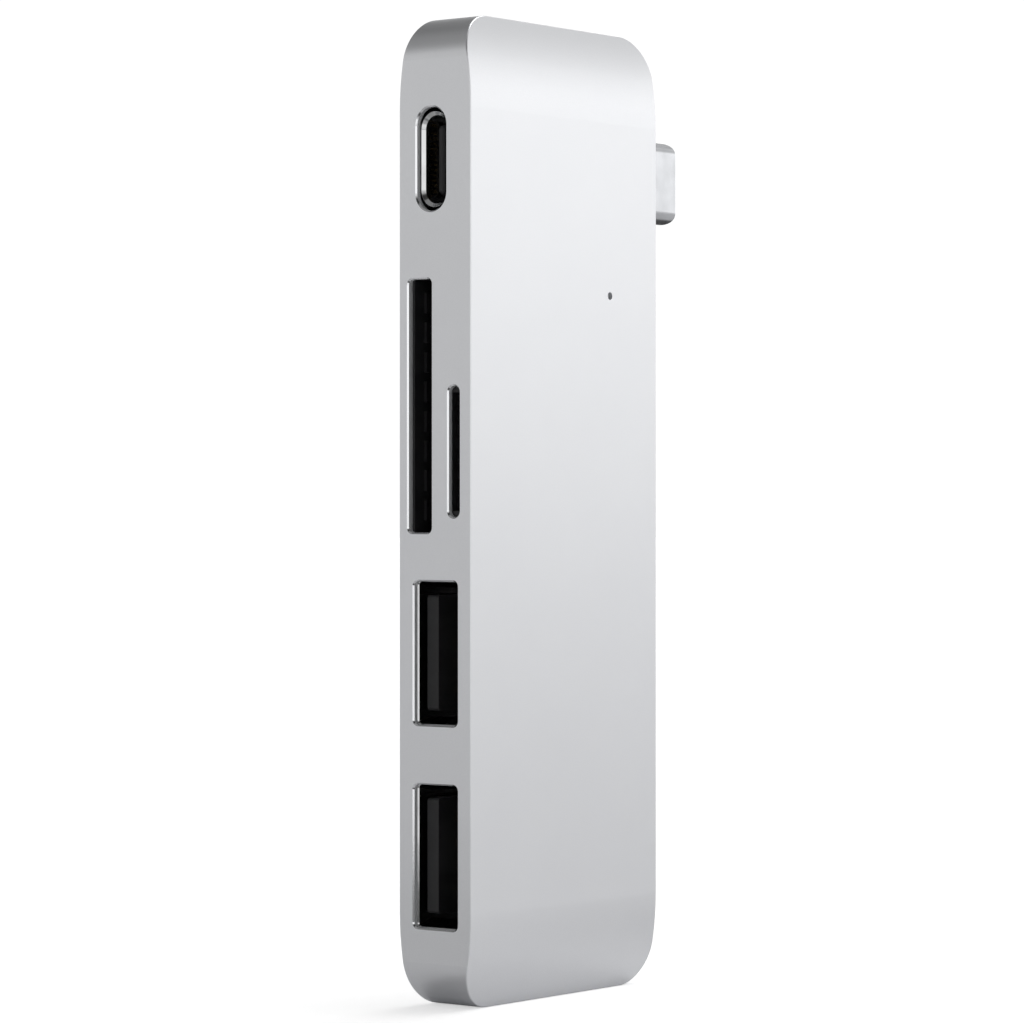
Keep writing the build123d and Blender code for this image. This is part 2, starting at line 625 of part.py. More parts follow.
with BuildPart() as sd_insulator:
    outer_z = (SD_Z - SD_HALF - SD_RAIL, SD_Z + SD_HALF + SD_RAIL)
    inner_z = (SD_Z - SD_HALF, SD_Z + SD_HALF)
    roof = (SD_ROOF, SD_ROOF + SD_COVER_SHEET)
    block((x_at(SOCKET_FRONT), x_at(SD_DEPTH)), (BOARD_BACK, SD_ROOF), outer_z)
    block((x_at(0), x_at(SD_DEPTH - 0.6)), (SD_FLOOR, SD_ROOF + 1), inner_z, Mode.SUBTRACT)
    # The mouth is closed all round, and its roof has guide ribs for the card.
    block((x_at(SOCKET_FRONT), x_at(SD_LIP_DEPTH)), roof, outer_z)
    guide_ribs(SD_Z, SD_ROOF, SD_RIBS)
    # Windows in the floor under the sprung contacts, and slots for their tails.
    for z in SD_SPRING_Z:
        block(
            (x_at(12.8), x_at(18.0)),
            (BOARD_BACK + 0.1, SD_FLOOR + 0.1),
            (z - 0.5, z + 0.5),
            Mode.SUBTRACT,
        )
        block(
            (x_at(17.9), x_at(SD_DEPTH + 1)),
            (SD_FLOOR - 0.3, SD_FLOOR - 0.15),
            (z - 0.4, z + 0.4),
            Mode.SUBTRACT,
        )
    add(sd_detect_switch.part, mode=Mode.SUBTRACT)
save(sd_insulator, "sd_insulator")

with BuildPart() as sd_cover:
    flap = 0.15
    depths = (x_at(SD_LIP_DEPTH), x_at(SD_DEPTH))
    block(depths, roof, (outer_z[0] - flap, outer_z[1] + flap))
    for z in (outer_z[0] - flap, outer_z[1]):
        block(depths, (BOARD_BACK, roof[1]), (z, z + flap))
    for x in (6.5, 12.5):
        for z in (SD_Z - 6.7, SD_Z + 6.7):
            window = (z - 0.5, z + 0.5)
            block((x_at(x), x_at(x + 3.0)), (SD_ROOF - 1, SD_ROOF + 1), window, Mode.SUBTRACT)
save(sd_cover, "sd_cover")

# === microSD socket with its push-push ejector ================================================
MICRO_HALF = MICROSD_CHANNEL / 2
MICRO_Z = (MICROSD_Z - 8.2, MICROSD_Z + MICRO_HALF + 1.3)  # outside of the insulator
CARD_Z = (MICROSD_Z - MICRO_HALF, MICROSD_Z + MICRO_HALF)
TRACK_Z = (SLIDER_Z - 0.7, SLIDER_Z + 0.7)
TRACK_BACK = 16.8
FINGER = (11.6, 12.6)  # depth range of the finger that the card pushes
MICRO_PITCH = 1.1
MICRO_SPRINGS = 8
MICRO_SPRING_Z = row(MICROSD_Z + 0.9, MICRO_SPRINGS, MICRO_PITCH)

with BuildPart() as microsd_contacts:
    for z in MICRO_SPRING_Z:
        strip = 0.1
        floor = MICROSD_FLOOR
        upper = [(7.2, floor + 0.2), (8.2, floor - 0.25), (8.6, floor - 0.25)]
        upper += [(10.6, floor + 0.2), (MICROSD_DEPTH + strip, floor + 0.2)]
        lower = [(depth, y - strip) for depth, y in reversed(upper)]
        leaf(z, 0.6, [(x_at(depth), y) for depth, y in upper + lower])
        heel = (x_at(MICROSD_DEPTH), x_at(MICROSD_DEPTH + 0.1))
        block(heel, (BOARD_FRONT, floor + 0.1), (z - 0.3, z + 0.3))
        block((heel[0], heel[1] + 0.8), (BOARD_FRONT, BOARD_FRONT - strip), (z - 0.3, z + 0.3))
save(microsd_contacts, "microsd_contacts")

with BuildPart() as microsd_insulator:
    block((x_at(SOCKET_FRONT), x_at(MICROSD_DEPTH)), (BOARD_FRONT, MICROSD_ROOF), MICRO_Z)
    channel = (MICROSD_FLOOR, MICROSD_ROOF - 1)
    block((x_at(0), x_at(MICROSD_DEPTH - 0.5)), channel, CARD_Z, Mode.SUBTRACT)
    guide_ribs(MICROSD_Z, MICROSD_FLOOR, MICROSD_RIBS)
    # The ejector's track, and the gap through which its finger reaches the card.
    block((x_at(7.8), x_at(TRACK_BACK)), channel, TRACK_Z, Mode.SUBTRACT)
    block(
        (x_at(FINGER[0] - 0.6), x_at(FINGER[1] + EJECT_TRAVEL + 0.6)),
        channel,
        (TRACK_Z[0], CARD_Z[0] + 1),
        Mode.SUBTRACT,
    )
    # A slot in the back wall for the lock wire, and windows under the sprung contacts.
    block(
        (x_at(TRACK_BACK - 0.1), x_at(TRACK_BACK + 0.3)),
        (MICROSD_FLOOR, MICROSD_FLOOR - 0.4),
        (SLIDER_Z - 0.1, SLIDER_Z + 0.1),
        Mode.SUBTRACT,
    )
    for z in MICRO_SPRING_Z:
        block(
            (x_at(7.0), x_at(11.0)),
            (MICROSD_FLOOR - 0.1, MICROSD_FLOOR + 0.3),
            (z - 0.36, z + 0.36),
            Mode.SUBTRACT,
        )
    add(microsd_contacts.part, mode=Mode.SUBTRACT)
save(microsd_insulator, "microsd_insulator")

with BuildPart() as microsd_cover:
    roof = (MICROSD_ROOF, MICROSD_ROOF - MICROSD_COVER_SHEET)
    flap = 0.12
    block((x_at(SOCKET_FRONT), x_at(MICROSD_DEPTH)), roof, (MICRO_Z[0] - flap, MICRO_Z[1] + flap))
    for z in (MICRO_Z[0] - flap, MICRO_Z[1]):
        block((x_at(2.0), x_at(MICROSD_DEPTH)), (BOARD_FRONT, roof[1]), (z, z + flap))
    for z in (-3.2, 3.2):
        block(
            (x_at(4.5), x_at(7.5)),
            (MICROSD_ROOF + 1, MICROSD_ROOF - 1),
            (MICROSD_Z + z - 0.4, MICROSD_Z + z + 0.4),
            Mode.SUBTRACT,
        )
save(microsd_cover, "microsd_cover")

SLIDER_Y = (MICROSD_FLOOR - 0.08, MICROSD_ROOF + 0.08)
GROOVE_DEPTH = 0.35
WIRE_RADIUS = 0.1
WIRE_Y = MICROSD_FLOOR - 0.08 - WIRE_RADIUS - 0.05

with BuildPart() as microsd_slider:
    block((x_at(SLIDER_FRONT), x_at(SLIDER_BACK)), SLIDER_Y, (TRACK_Z[0] + 0.06, TRACK_Z[1] - 0.06))
    block(
        (x_at(FINGER[0]), x_at(FINGER[1])), SLIDER_Y, (TRACK_Z[1] - 0.1, CARD_Z[0] + 0.9)
    )
    # The groove that the lock wire follows.
    block(
        (x_at(SLIDER_FRONT + 0.3), x_at(SLIDER_BACK + 0.1)),
        (SLIDER_Y[0], SLIDER_Y[0] - GROOVE_DEPTH),
        (SLIDER_Z - 0.22, SLIDER_Z + 0.22),
        Mode.SUBTRACT,
    )
save(microsd_slider, "microsd_slider")

with BuildPart() as microsd_lock_wire:
    with BuildSketch(Plane.YZ.offset(x_at(11.2))):
        with Locations((WIRE_Y, SLIDER_Z)):
            Circle(WIRE_RADIUS)
    extrude(amount=TRACK_BACK + 0.3 - 11.2)
save(microsd_lock_wire, "microsd_lock_wire")

SPRING_RADIUS = 0.33
SPRING_WIRE = 0.07
SPRING_Y = MICROSD_ROOF + SPRING_RADIUS + SPRING_WIRE + 0.06
SPRING_TURNS = 10
spring_length = TRACK_BACK - SLIDER_BACK - 2 * SPRING_WIRE - 0.06
spring_start = (x_at(SLIDER_BACK + SPRING_WIRE + 0.03), SPRING_Y, SLIDER_Z)
with BuildPart() as microsd_spring:
    with BuildLine():
        coil = Helix(
            pitch=spring_length / SPRING_TURNS,
            height=spring_length,
            radius=SPRING_RADIUS,
            center=spring_start,
            direction=(1, 0, 0),
        )
    with BuildSketch(Plane(origin=coil @ 0, z_dir=coil % 0)):
        Circle(SPRING_WIRE)
    sweep(path=coil)
save(microsd_spring, "microsd_spring")

with BuildPart() as microsd_detect_switch:
    arm = (CARD_Z[1] - 0.12, CARD_Z[1])
    block((x_at(14.6), x_at(16.9)), (MICROSD_FLOOR - 0.3, MICROSD_FLOOR - 0.5), arm)
save(microsd_detect_switch, "microsd_detect_switch")

# === The hub's own USB-C plug ==================================================================
PLUG_TIP = WIDTH / 2 + PLUG_REACH
PLUG_BACK = WIDTH / 2 - PLUG_ROOT
PLUG_BOARD_EDGE = PLUG_CUT[0]

with BuildPart() as plug_shell:
    with BuildSketch(facing_front(PLUG_Y + PLUG_SIZE[1] / 2)):
        with Locations(((PLUG_BACK + PLUG_TIP) / 2, PLUG_Z)):
            Rectangle(PLUG_TIP - PLUG_BACK, PLUG_SIZE[0])
        fillet(vertices().group_by(Axis.X)[-1], PLUG_TIP_RADIUS)
    extrude(amount=PLUG_SIZE[1])
    with BuildSketch(Plane.YZ.offset(PLUG_BACK)):
        with Locations((PLUG_Y, PLUG_Z)):
            slot_face(PLUG_SIZE)
    extrude(amount=PLUG_TIP - PLUG_BACK, mode=Mode.INTERSECT)
    with BuildSketch(Plane.YZ.offset(PLUG_BACK - 0.1)):
        with Locations((PLUG_Y, PLUG_Z)):
            slot_face(PLUG_INSIDE, 0)
    extrude(amount=PLUG_REACH + PLUG_ROOT - 0.15, mode=Mode.SUBTRACT)
    # The mouth: the front edge is turned in a little.
    with BuildSketch(Plane.YZ.offset(PLUG_TIP - 0.3)):
        with Locations((PLUG_Y, PLUG_Z)):
            slot_face(PLUG_INSIDE, -0.12)
    extrude(amount=0.5, mode=Mode.SUBTRACT)
save(plug_shell, "plug_shell")


def plug_row(side, name):
    """Twelve sprung contacts in the plug and their feet on one side of the board's edge."""
    wall = PLUG_Y + side * (PLUG_INSIDE[1] / 2 - 0.22)
    foot = BOARD_BACK if side > 0 else BOARD_FRONT
    with BuildPart() as contacts:
        for z in row(PLUG_Z, USB_C_CONTACTS, USB_C_PITCH):
            zs = (z - 0.11, z + 0.11)
            block((PLUG_BACK - 0.4, PLUG_TIP - 1.2), (wall, wall - side * 0.12), zs)
            block((PLUG_TIP - 1.9, PLUG_TIP - 1.2), (wall - side * 0.12, wall - side * 0.24), zs)
            block((PLUG_BACK - 0.4, PLUG_BACK - 0.28), (wall, foot), zs)
            block((PLUG_BOARD_EDGE - 1.2, PLUG_BACK - 0.28), (foot, foot + side * 0.12), zs)
    save(contacts, name)
    return contacts.part


plug_front = plug_row(-1, "plug_contacts_front")
plug_back = plug_row(1, "plug_contacts_back")

with BuildPart() as plug_latch:
    # A forked steel plate between the two rows, with a hooked arm at each side.
    plate = (PLUG_Y - 0.08, PLUG_Y + 0.08)
    block((PLUG_BACK + 0.2, PLUG_BACK + 4.0), plate, (PLUG_Z - 3.2, PLUG_Z + 3.2))
    for side in (-1, 1):
        arm_end = PLUG_Z + side * 3.2
        block((PLUG_BACK + 3.8, PLUG_TIP - 1.0), plate, (arm_end - side * 0.25, arm_end))
        block((PLUG_TIP - 1.5, PLUG_TIP - 1.0), plate, (arm_end - side * 0.4, arm_end))
save(plug_latch, "plug_latch")

with BuildPart() as plug_insulator:
    with BuildSketch(Plane.YZ.offset(PLUG_BACK)):
        with Locations((PLUG_Y, PLUG_Z)):
            slot_face(PLUG_INSIDE, -0.01)
    extrude(amount=PLUG_REACH + PLUG_ROOT - 0.4)
    # The space that the tongue of the mating receptacle fills.
    block(
        (PLUG_BACK + 4.0, PLUG_TIP),
        (PLUG_Y - 0.42, PLUG_Y + 0.42),
        (PLUG_Z - 3.4, PLUG_Z + 3.4),
        Mode.SUBTRACT,
    )
    for inlay in (plug_front, plug_back, plug_latch.part):
        add(inlay, mode=Mode.SUBTRACT)
save(plug_insulator, "plug_insulator")

with BuildPart() as plug_back_shell:
    # Two stamped half covers over the solder joints, one on each side of the board.
    for side, base in ((-1, BOARD_FRONT), (1, BOARD_BACK)):
        far = PLUG_Y + side * (PLUG_SIZE[1] / 2 + 0.15)
        x0, x1 = PLUG_BOARD_EDGE - 3.2, PLUG_BACK + 1.5
        z0, z1 = PLUG_Z - 5.4, PLUG_Z + 5.4
        sheet = 0.15
        block((x0, x1), (base, far), (z0, z1))
        block(
            (x0 + sheet, x1 + 1),
            (base, far - side * sheet),
            (z0 + sheet, z1 - sheet),
            Mode.SUBTRACT,
        )
save(plug_back_shell, "plug_back_shell")
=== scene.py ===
"""Looks of a USB-C hub in an aluminium housing, standing on its end on a pale studio floor.

Metres, in the part's own frame: +Z up the long side, +X towards the plug, -Y the broad
front face. Every finish is procedural, and every size in it is a real size on the part.
"""

import math

import bpy
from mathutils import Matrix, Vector


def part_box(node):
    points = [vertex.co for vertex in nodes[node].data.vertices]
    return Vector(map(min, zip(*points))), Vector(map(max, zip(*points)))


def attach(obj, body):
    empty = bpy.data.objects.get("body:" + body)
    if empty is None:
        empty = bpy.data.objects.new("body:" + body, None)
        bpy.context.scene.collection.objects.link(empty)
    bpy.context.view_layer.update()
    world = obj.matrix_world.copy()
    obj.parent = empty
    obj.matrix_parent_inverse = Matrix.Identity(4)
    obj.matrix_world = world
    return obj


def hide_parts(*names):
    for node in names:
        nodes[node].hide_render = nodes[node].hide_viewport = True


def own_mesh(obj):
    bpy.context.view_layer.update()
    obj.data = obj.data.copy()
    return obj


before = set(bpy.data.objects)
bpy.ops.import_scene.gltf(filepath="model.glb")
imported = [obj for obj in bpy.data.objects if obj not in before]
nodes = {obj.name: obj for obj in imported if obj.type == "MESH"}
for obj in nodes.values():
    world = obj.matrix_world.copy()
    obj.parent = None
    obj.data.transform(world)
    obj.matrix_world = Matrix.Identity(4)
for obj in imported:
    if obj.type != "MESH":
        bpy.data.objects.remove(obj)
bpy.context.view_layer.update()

MM = 0.001
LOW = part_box("top_housing")[0]
PORT_EDGE = 0.14 * MM  # width of the polished chamfer around each port
PORT_WALL = 0.6 * MM  # thickness of the side wall that the ports go through
PORT_REACH = 3.45 * MM  # every port lies within this of the middle of the thickness
PORT_ENDS = (7.0 * MM, 87.0 * MM)  # and between these heights
FLAT_SIDE = 0.93  # a face whose normal leans this far along X is the flat side
WALL_SIDE = 0.3  # and one that leans less than this is the wall of a port


# --- Node helpers --------------------------------------------------------------------
class Finish:
    """A procedural material: its node tree, its shader and the part's own coordinates."""

    def __init__(self, name, colour, roughness, metallic=0.0, **sockets):
        self.material = bpy.data.materials.new(name)
        self.material.use_nodes = True
        self.tree = self.material.node_tree
        self.shader = self.tree.nodes["Principled BSDF"]
        self.shader.inputs["Base Color"].default_value = (*colour, 1.0)
        self.shader.inputs["Roughness"].default_value = roughness
        self.shader.inputs["Metallic"].default_value = metallic
        for socket, value in sockets.items():
            self.shader.inputs[socket.replace("_", " ")].default_value = value
        self.place = self.node("ShaderNodeTexCoord")

    def node(self, kind, inputs=None, **settings):
        """A new node, its settings, and its inputs as numbers or as links."""
        made = self.tree.nodes.new(kind)
        for key, value in settings.items():
            setattr(made, key, value)
        for key, value in (inputs or {}).items():
            self.feed(value, made.inputs[key])
        return made

    def feed(self, value, socket):
        if isinstance(value, bpy.types.NodeSocket):
            self.tree.links.new(value, socket)
        else:
            socket.default_value = value

    def noise(self, size, detail=2.0, stretch=(1.0, 1.0, 1.0), rough=0.5):
        """Noise whose features are about `size` metres, drawn out along an axis by stretch."""
        scale = tuple(1.0 / factor for factor in stretch)
        mapping = self.node(
            "ShaderNodeMapping", {"Vector": self.place.outputs["Object"], "Scale": scale}
        )
        noise = self.node(
            "ShaderNodeTexNoise",
            {
                "Vector": mapping.outputs["Vector"],
                "Scale": 1.0 / size,
                "Detail": detail,
                "Roughness": rough,
            },
        )
        return noise.outputs["Fac"]

    def span(self, value, low, high, to_low=0.0, to_high=1.0):
        """value from low..high to to_low..to_high, clamped."""
        made = self.node(
            "ShaderNodeMapRange",
            {"Value": value, "From Min": low, "From Max": high, "To Min": to_low, "To Max": to_high},
        )
        return made.outputs["Result"]

    def within(self, value, low, high, edge=0.02):
        """1 between low and high, with soft edges, and 0 outside them."""
        rise = self.span(value, low, low + edge)
        return self.math("MULTIPLY", rise, self.span(value, high - edge, high, 1.0, 0.0))

    def math(self, operation, first, second=0.0):
        made = self.node("ShaderNodeMath", {0: first, 1: second}, operation=operation)
        return made.outputs["Value"]

    def blend(self, factor, first, second):
        """One colour to another; each is a colour or a socket."""
        made = self.node("ShaderNodeMix", data_type="RGBA")
        self.feed(factor, made.inputs["Factor"])
        for colour, socket in ((first, made.inputs[6]), (second, made.inputs[7])):
            self.feed((*colour, 1.0) if isinstance(colour, tuple) else colour, socket)
        return made.outputs[2]

    def bump(self, height, depth, under=None):
        """Relief `depth` metres high from a 0..1 height, over any relief under it."""
        made = self.node("ShaderNodeBump", {"Height": height, "Distance": depth, "Strength": 1.0})
        if under is not None:
            self.tree.links.new(under, made.inputs["Normal"])
        return made.outputs["Normal"]

    def set(self, socket, value):
        self.feed(value, self.shader.inputs[socket])


# --- Finishes ------------------------------------------------------------------------
def blasted_aluminium():
    """Bead-blasted, clear-anodised aluminium, diamond-cut at the ports and milled in them."""
    finish = Finish("blasted_aluminium", (0.78, 0.79, 0.80), 0.33, metallic=1.0)
    cloud = finish.noise(9 * MM, detail=3.0)
    beads = finish.noise(0.11 * MM, detail=2.0)
    pits = finish.noise(0.28 * MM, detail=1.0)
    satin = finish.blend(finish.span(cloud, 0.3, 0.7), (0.768, 0.776, 0.795), (0.782, 0.79, 0.807))
    satin = finish.blend(finish.span(beads, 0.35, 0.65, 0.0, 0.3), satin, (0.72, 0.728, 0.745))
    satin_rough = finish.span(beads, 0.3, 0.7, 0.31, 0.35)

    spot = finish.node("ShaderNodeSeparateXYZ", {0: finish.place.outputs["Object"]})
    tilt = finish.node("ShaderNodeSeparateXYZ", {0: finish.place.outputs["Normal"]})
    depth = finish.math("SUBTRACT", spot.outputs["X"], LOW.x)
    turned = finish.math("ABSOLUTE", tilt.outputs["X"])
    across = finish.math("LESS_THAN", finish.math("ABSOLUTE", spot.outputs["Y"]), PORT_REACH)
    above = finish.math("GREATER_THAN", spot.outputs["Z"], PORT_ENDS[0])
    below = finish.math("LESS_THAN", spot.outputs["Z"], PORT_ENDS[1])
    at_ports = finish.math("MULTIPLY", across, finish.math("MULTIPLY", above, below))

    on_edge = finish.math("LESS_THAN", depth, 1.05 * PORT_EDGE)
    slanted = finish.math("LESS_THAN", turned, FLAT_SIDE)
    cut = finish.math("MULTIPLY", at_ports, finish.math("MULTIPLY", on_edge, slanted))
    in_wall = finish.math("LESS_THAN", depth, 1.2 * PORT_WALL)
    upright = finish.math("LESS_THAN", turned, WALL_SIDE)
    milled = finish.math("MULTIPLY", at_ports, finish.math("MULTIPLY", in_wall, upright))

    colour = finish.blend(milled, satin, (0.80, 0.81, 0.82))
    finish.set("Base Color", finish.blend(cut, colour, (0.77, 0.78, 0.795)))
    rough = finish.span(milled, 0.0, 1.0, satin_rough, 0.75)
    finish.set("Roughness", finish.span(cut, 0.0, 1.0, rough, 0.14))
    relief = finish.bump(beads, 1.2e-6)
    finish.set("Normal", finish.bump(pits, 1.5e-6, relief))
    return finish.material


def plated_steel(name, colour, roughness, streak):
    """Rolled and plated sheet: fine streaks along the strip and a slow change of gloss."""
    finish = Finish(name, colour, roughness, metallic=1.0)
    lines = finish.noise(0.05 * MM, detail=3.0, stretch=streak)
    haze = finish.noise(2.5 * MM, detail=2.0)
    dull = tuple(0.82 * channel for channel in colour)
    finish.set("Base Color", finish.blend(finish.span(haze, 0.35, 0.7, 0.0, 0.6), colour, dull))
    gloss = finish.math("ADD", finish.span(haze, 0.3, 0.7, -0.04, 0.05), roughness)
    finish.set("Roughness", finish.math("ADD", finish.span(lines, 0.3, 0.7, -0.02, 0.03), gloss))
    finish.set("Normal", finish.bump(lines, 0.35e-6))
    return finish.material


def moulded_plastic(name, colour, roughness, grain=0.06 * MM):
    """Glass-filled moulding: fine grain, and flow marks that change the gloss."""
    finish = Finish(name, colour, roughness, Specular_IOR_Level=0.4)
    flow = finish.noise(1.6 * MM, detail=3.0, stretch=(3.0, 1.0, 1.0))
    fibre = finish.noise(grain, detail=2.0)
    light = tuple(min(1.0, 1.5 * channel + 0.004) for channel in colour)
    finish.set("Base Color", finish.blend(finish.span(flow, 0.4, 0.8), colour, light))
    finish.set("Roughness", finish.span(flow, 0.3, 0.7, roughness - 0.06, roughness + 0.08))
    finish.set("Normal", finish.bump(fibre, 1.5e-6))
    return finish.material


def gold_plate():
    finish = Finish("gold_plate", (0.93, 0.68, 0.30), 0.2, metallic=1.0)
    wear = finish.noise(0.3 * MM, detail=4.0)
    worn = finish.span(wear, 0.35, 0.75)
    finish.set("Base Color", finish.blend(worn, (0.95, 0.70, 0.31), (0.78, 0.53, 0.22)))
    finish.set("Roughness", finish.span(wear, 0.3, 0.7, 0.15, 0.3))
    finish.set("Normal", finish.bump(wear, 0.6e-6))
    return finish.material


def solder_mask():
    """Green mask over copper: tracks and pours show as a paler green, a hair proud."""
    finish = Finish("solder_mask", (0.01, 0.10, 0.045), 0.3, Coat_Weight=0.4)
    tracks = finish.node(
        "ShaderNodeTexBrick",
        {
            "Vector": finish.place.outputs["Object"],
            "Scale": 1.0 / (2.4 * MM),
            "Mortar Size": 0.06,
            "Mortar Smooth": 0.1,
            "Color1": (1.0, 1.0, 1.0, 1.0),
            "Color2": (0.6, 0.6, 0.6, 1.0),
            "Mortar": (0.0, 0.0, 0.0, 1.0),
        },
    )
    copper = tracks.outputs["Fac"]
    grain = finish.noise(0.4 * MM, detail=3.0)
    green = finish.blend(copper, (0.006, 0.075, 0.03), (0.015, 0.14, 0.06))
    mottle = finish.span(grain, 0.3, 0.8, 0.0, 0.3)
    finish.set("Base Color", finish.blend(mottle, green, (0.02, 0.16, 0.08)))
    finish.set("Roughness", finish.span(grain, 0.3, 0.7, 0.25, 0.4))
    finish.set("Normal", finish.bump(copper, 15e-6))
    return finish.material


def speckled(name, colour, fleck, size, roughness, metallic=0.0):
    """A sintered or filled body: flecks of another tone, and the relief that they leave."""
    finish = Finish(name, colour, roughness, metallic=metallic)
    grit = finish.noise(size, detail=3.0, rough=0.6)
    finish.set("Base Color", finish.blend(finish.span(grit, 0.5, 0.75), colour, fleck))
    finish.set("Roughness", finish.span(grit, 0.3, 0.7, roughness - 0.05, roughness + 0.1))
    finish.set("Normal", finish.bump(grit, 0.04 * size))
    return finish.material


def clear_plastic():
    """Frosted light pipe: mostly clear, with a faint haze that takes the lamp's light."""
    finish = Finish("clear_plastic", (0.82, 0.84, 0.86), 0.35, Transmission_Weight=0.55, IOR=1.49)
    haze = finish.noise(0.2 * MM, detail=2.0)
    finish.set("Roughness", finish.span(haze, 0.3, 0.7, 0.28, 0.42))
    finish.set("Normal", finish.bump(haze, 1e-6))
    return finish.material


FINISHES = {
    "housing_aluminium": blasted_aluminium(),
    "polished_steel": plated_steel("bright_steel", (0.62, 0.63, 0.65), 0.2, (1.0, 1.0, 30.0)),
    "stamped_steel": plated_steel("nickel_plate", (0.64, 0.645, 0.65), 0.11, (30.0, 1.0, 1.0)),
    "spring_steel": plated_steel("spring_wire", (0.52, 0.52, 0.53), 0.3, (20.0, 1.0, 1.0)),
    "screw_steel": plated_steel("zinc_plate", (0.60, 0.61, 0.63), 0.34, (1.0, 8.0, 1.0)),
    "gold_contact": gold_plate(),
    "black_plastic": moulded_plastic("black_moulding", (0.012, 0.012, 0.013), 0.46),
    "black_film": moulded_plastic("black_film", (0.02, 0.02, 0.021), 0.6, grain=0.15 * MM),
    "clear_plastic": clear_plastic(),
    "solder_mask_green": solder_mask(),
    "chip_resin": speckled(
        "chip_resin", (0.018, 0.018, 0.019), (0.04, 0.04, 0.042), 0.08 * MM, 0.55
    ),
    "ferrite": speckled("ferrite", (0.045, 0.043, 0.042), (0.09, 0.085, 0.08), 0.12 * MM, 0.5),
    "crystal_can": speckled(
        "crystal_can", (0.66, 0.65, 0.62), (0.56, 0.55, 0.52), 0.5 * MM, 0.25, 1.0
    ),
    "ceramic": speckled("ceramic", (0.50, 0.40, 0.28), (0.58, 0.49, 0.36), 0.06 * MM, 0.4),
    "resistor_black": speckled(
        "resistor_black", (0.025, 0.025, 0.027), (0.5, 0.5, 0.5), 0.2 * MM, 0.4
    ),
    "fuse_green": speckled("fuse_green", (0.06, 0.20, 0.10), (0.09, 0.26, 0.14), 0.1 * MM, 0.5),
    "lamp_body": speckled("lamp_body", (0.80, 0.80, 0.76), (0.88, 0.87, 0.80), 0.1 * MM, 0.4),
    "thermal_silicone": speckled(
        "thermal_silicone", (0.32, 0.36, 0.42), (0.40, 0.44, 0.50), 0.1 * MM, 0.7
    ),
    "adhesive": speckled("adhesive", (0.05, 0.05, 0.05), (0.08, 0.08, 0.08), 0.2 * MM, 0.6),
}

for node in nodes.values():
    for slot in node.material_slots:
        slot.material = FINISHES[slot.material.name.split(".")[0]]


# --- Studio --------------------------------------------------------------------------
def towards(azimuth, elevation):
    """The direction of a view or a lamp: azimuth 0 is in front of the part, at -Y."""
    a, e = math.radians(azimuth), math.radians(elevation)
    return Vector((math.sin(a) * math.cos(e), -math.cos(a) * math.cos(e), math.sin(e)))


SURROUND = 0.95  # the pale room at eye level
UPPER_WALLS = 0.28  # and above it
DARKEST = 0.05  # no direction is darker than this
BACKDROP = 1.05  # what the camera sees behind the part
EYE_LEVEL_FADE = (14.0, 36.0)  # degrees of elevation between eye level and the upper walls
SOFT_EDGE = (0.6, 1.4)  # a panel fades out between these shares of its half size
KEY_LIGHT = (85.0, 66.0, 44.0, 1.0)  # azimuth, elevation and spread in degrees, strength
# Soft panels and dark cards around the part: azimuth, elevation, half width and half
# height in degrees, and how much light each adds or takes away.
PANELS = {
    "front_strip": (52.0, 9.0, 45.0, 8.0, 0.42),
    "overhead": (70.0, 68.0, 80.0, 16.0, 0.5),
    "front_upper": (45.0, 38.0, 30.0, 9.0, 0.42),
    "side_card": (232.0, 0.0, 55.0, 28.0, -0.26),
    "camera_strip": (-40.0, 0.0, 30.0, 12.0, 0.3),
    "camera_card": (-45.0, 32.0, 40.0, 18.0, -0.4),
    "right_card": (130.0, 10.0, 25.0, 15.0, -0.5),
    "back_card": (150.0, 46.0, 40.0, 12.0, -0.15),
    "right_strip": (95.0, 36.0, 30.0, 12.0, 0.25),
}


class World:
    """The studio's surroundings, worked out from the direction in which they are seen."""

    def __init__(self):
        self.world = bpy.data.worlds.new("studio")
        self.world.use_nodes = True
        self.tree = self.world.node_tree
        self.view = self.tree.nodes.new("ShaderNodeTexCoord").outputs["Generated"]

    def math(self, operation, first, second=0.0):
        made = self.tree.nodes.new("ShaderNodeMath")
        made.operation = operation
        for value, socket in zip((first, second), made.inputs):
            if isinstance(value, bpy.types.NodeSocket):
                self.tree.links.new(value, socket)
            else:
                socket.default_value = value
        return made.outputs["Value"]

    def fade(self, value, start, end):
        """1 up to start, 0 from end on, smoothly between; both are in degrees."""
        made = self.tree.nodes.new("ShaderNodeMapRange")
        made.interpolation_type = "SMOOTHSTEP"
        self.tree.links.new(value, made.inputs["Value"])
        made.inputs["From Min"].default_value = math.radians(start)
        made.inputs["From Max"].default_value = math.radians(end)
        made.inputs["To Min"].default_value = 1.0
        made.inputs["To Max"].default_value = 0.0
        return made.outputs["Result"]

    def panel(self, elevation, azimuth, height, half_width, half_height):
        """1 inside a panel and 0 outside it, with soft edges."""
        aim = self.tree.nodes.new("ShaderNodeVectorMath")
        aim.operation = "DOT_PRODUCT"
        self.tree.links.new(self.view, aim.inputs[0])
        aim.inputs[1].default_value = towards(azimuth, 0.0)
        level = self.math("DIVIDE", aim.outputs["Value"], self.math("COSINE", elevation))
        inner, outer = SOFT_EDGE
        turn = self.math("ARCCOSINE", level)
        wide = self.fade(turn, inner * half_width, outer * half_width)
        offset = self.math("ABSOLUTE", self.math("SUBTRACT", elevation, math.radians(height)))
        tall = self.fade(offset, inner * half_height, outer * half_height)
        return self.math("MULTIPLY", wide, tall)


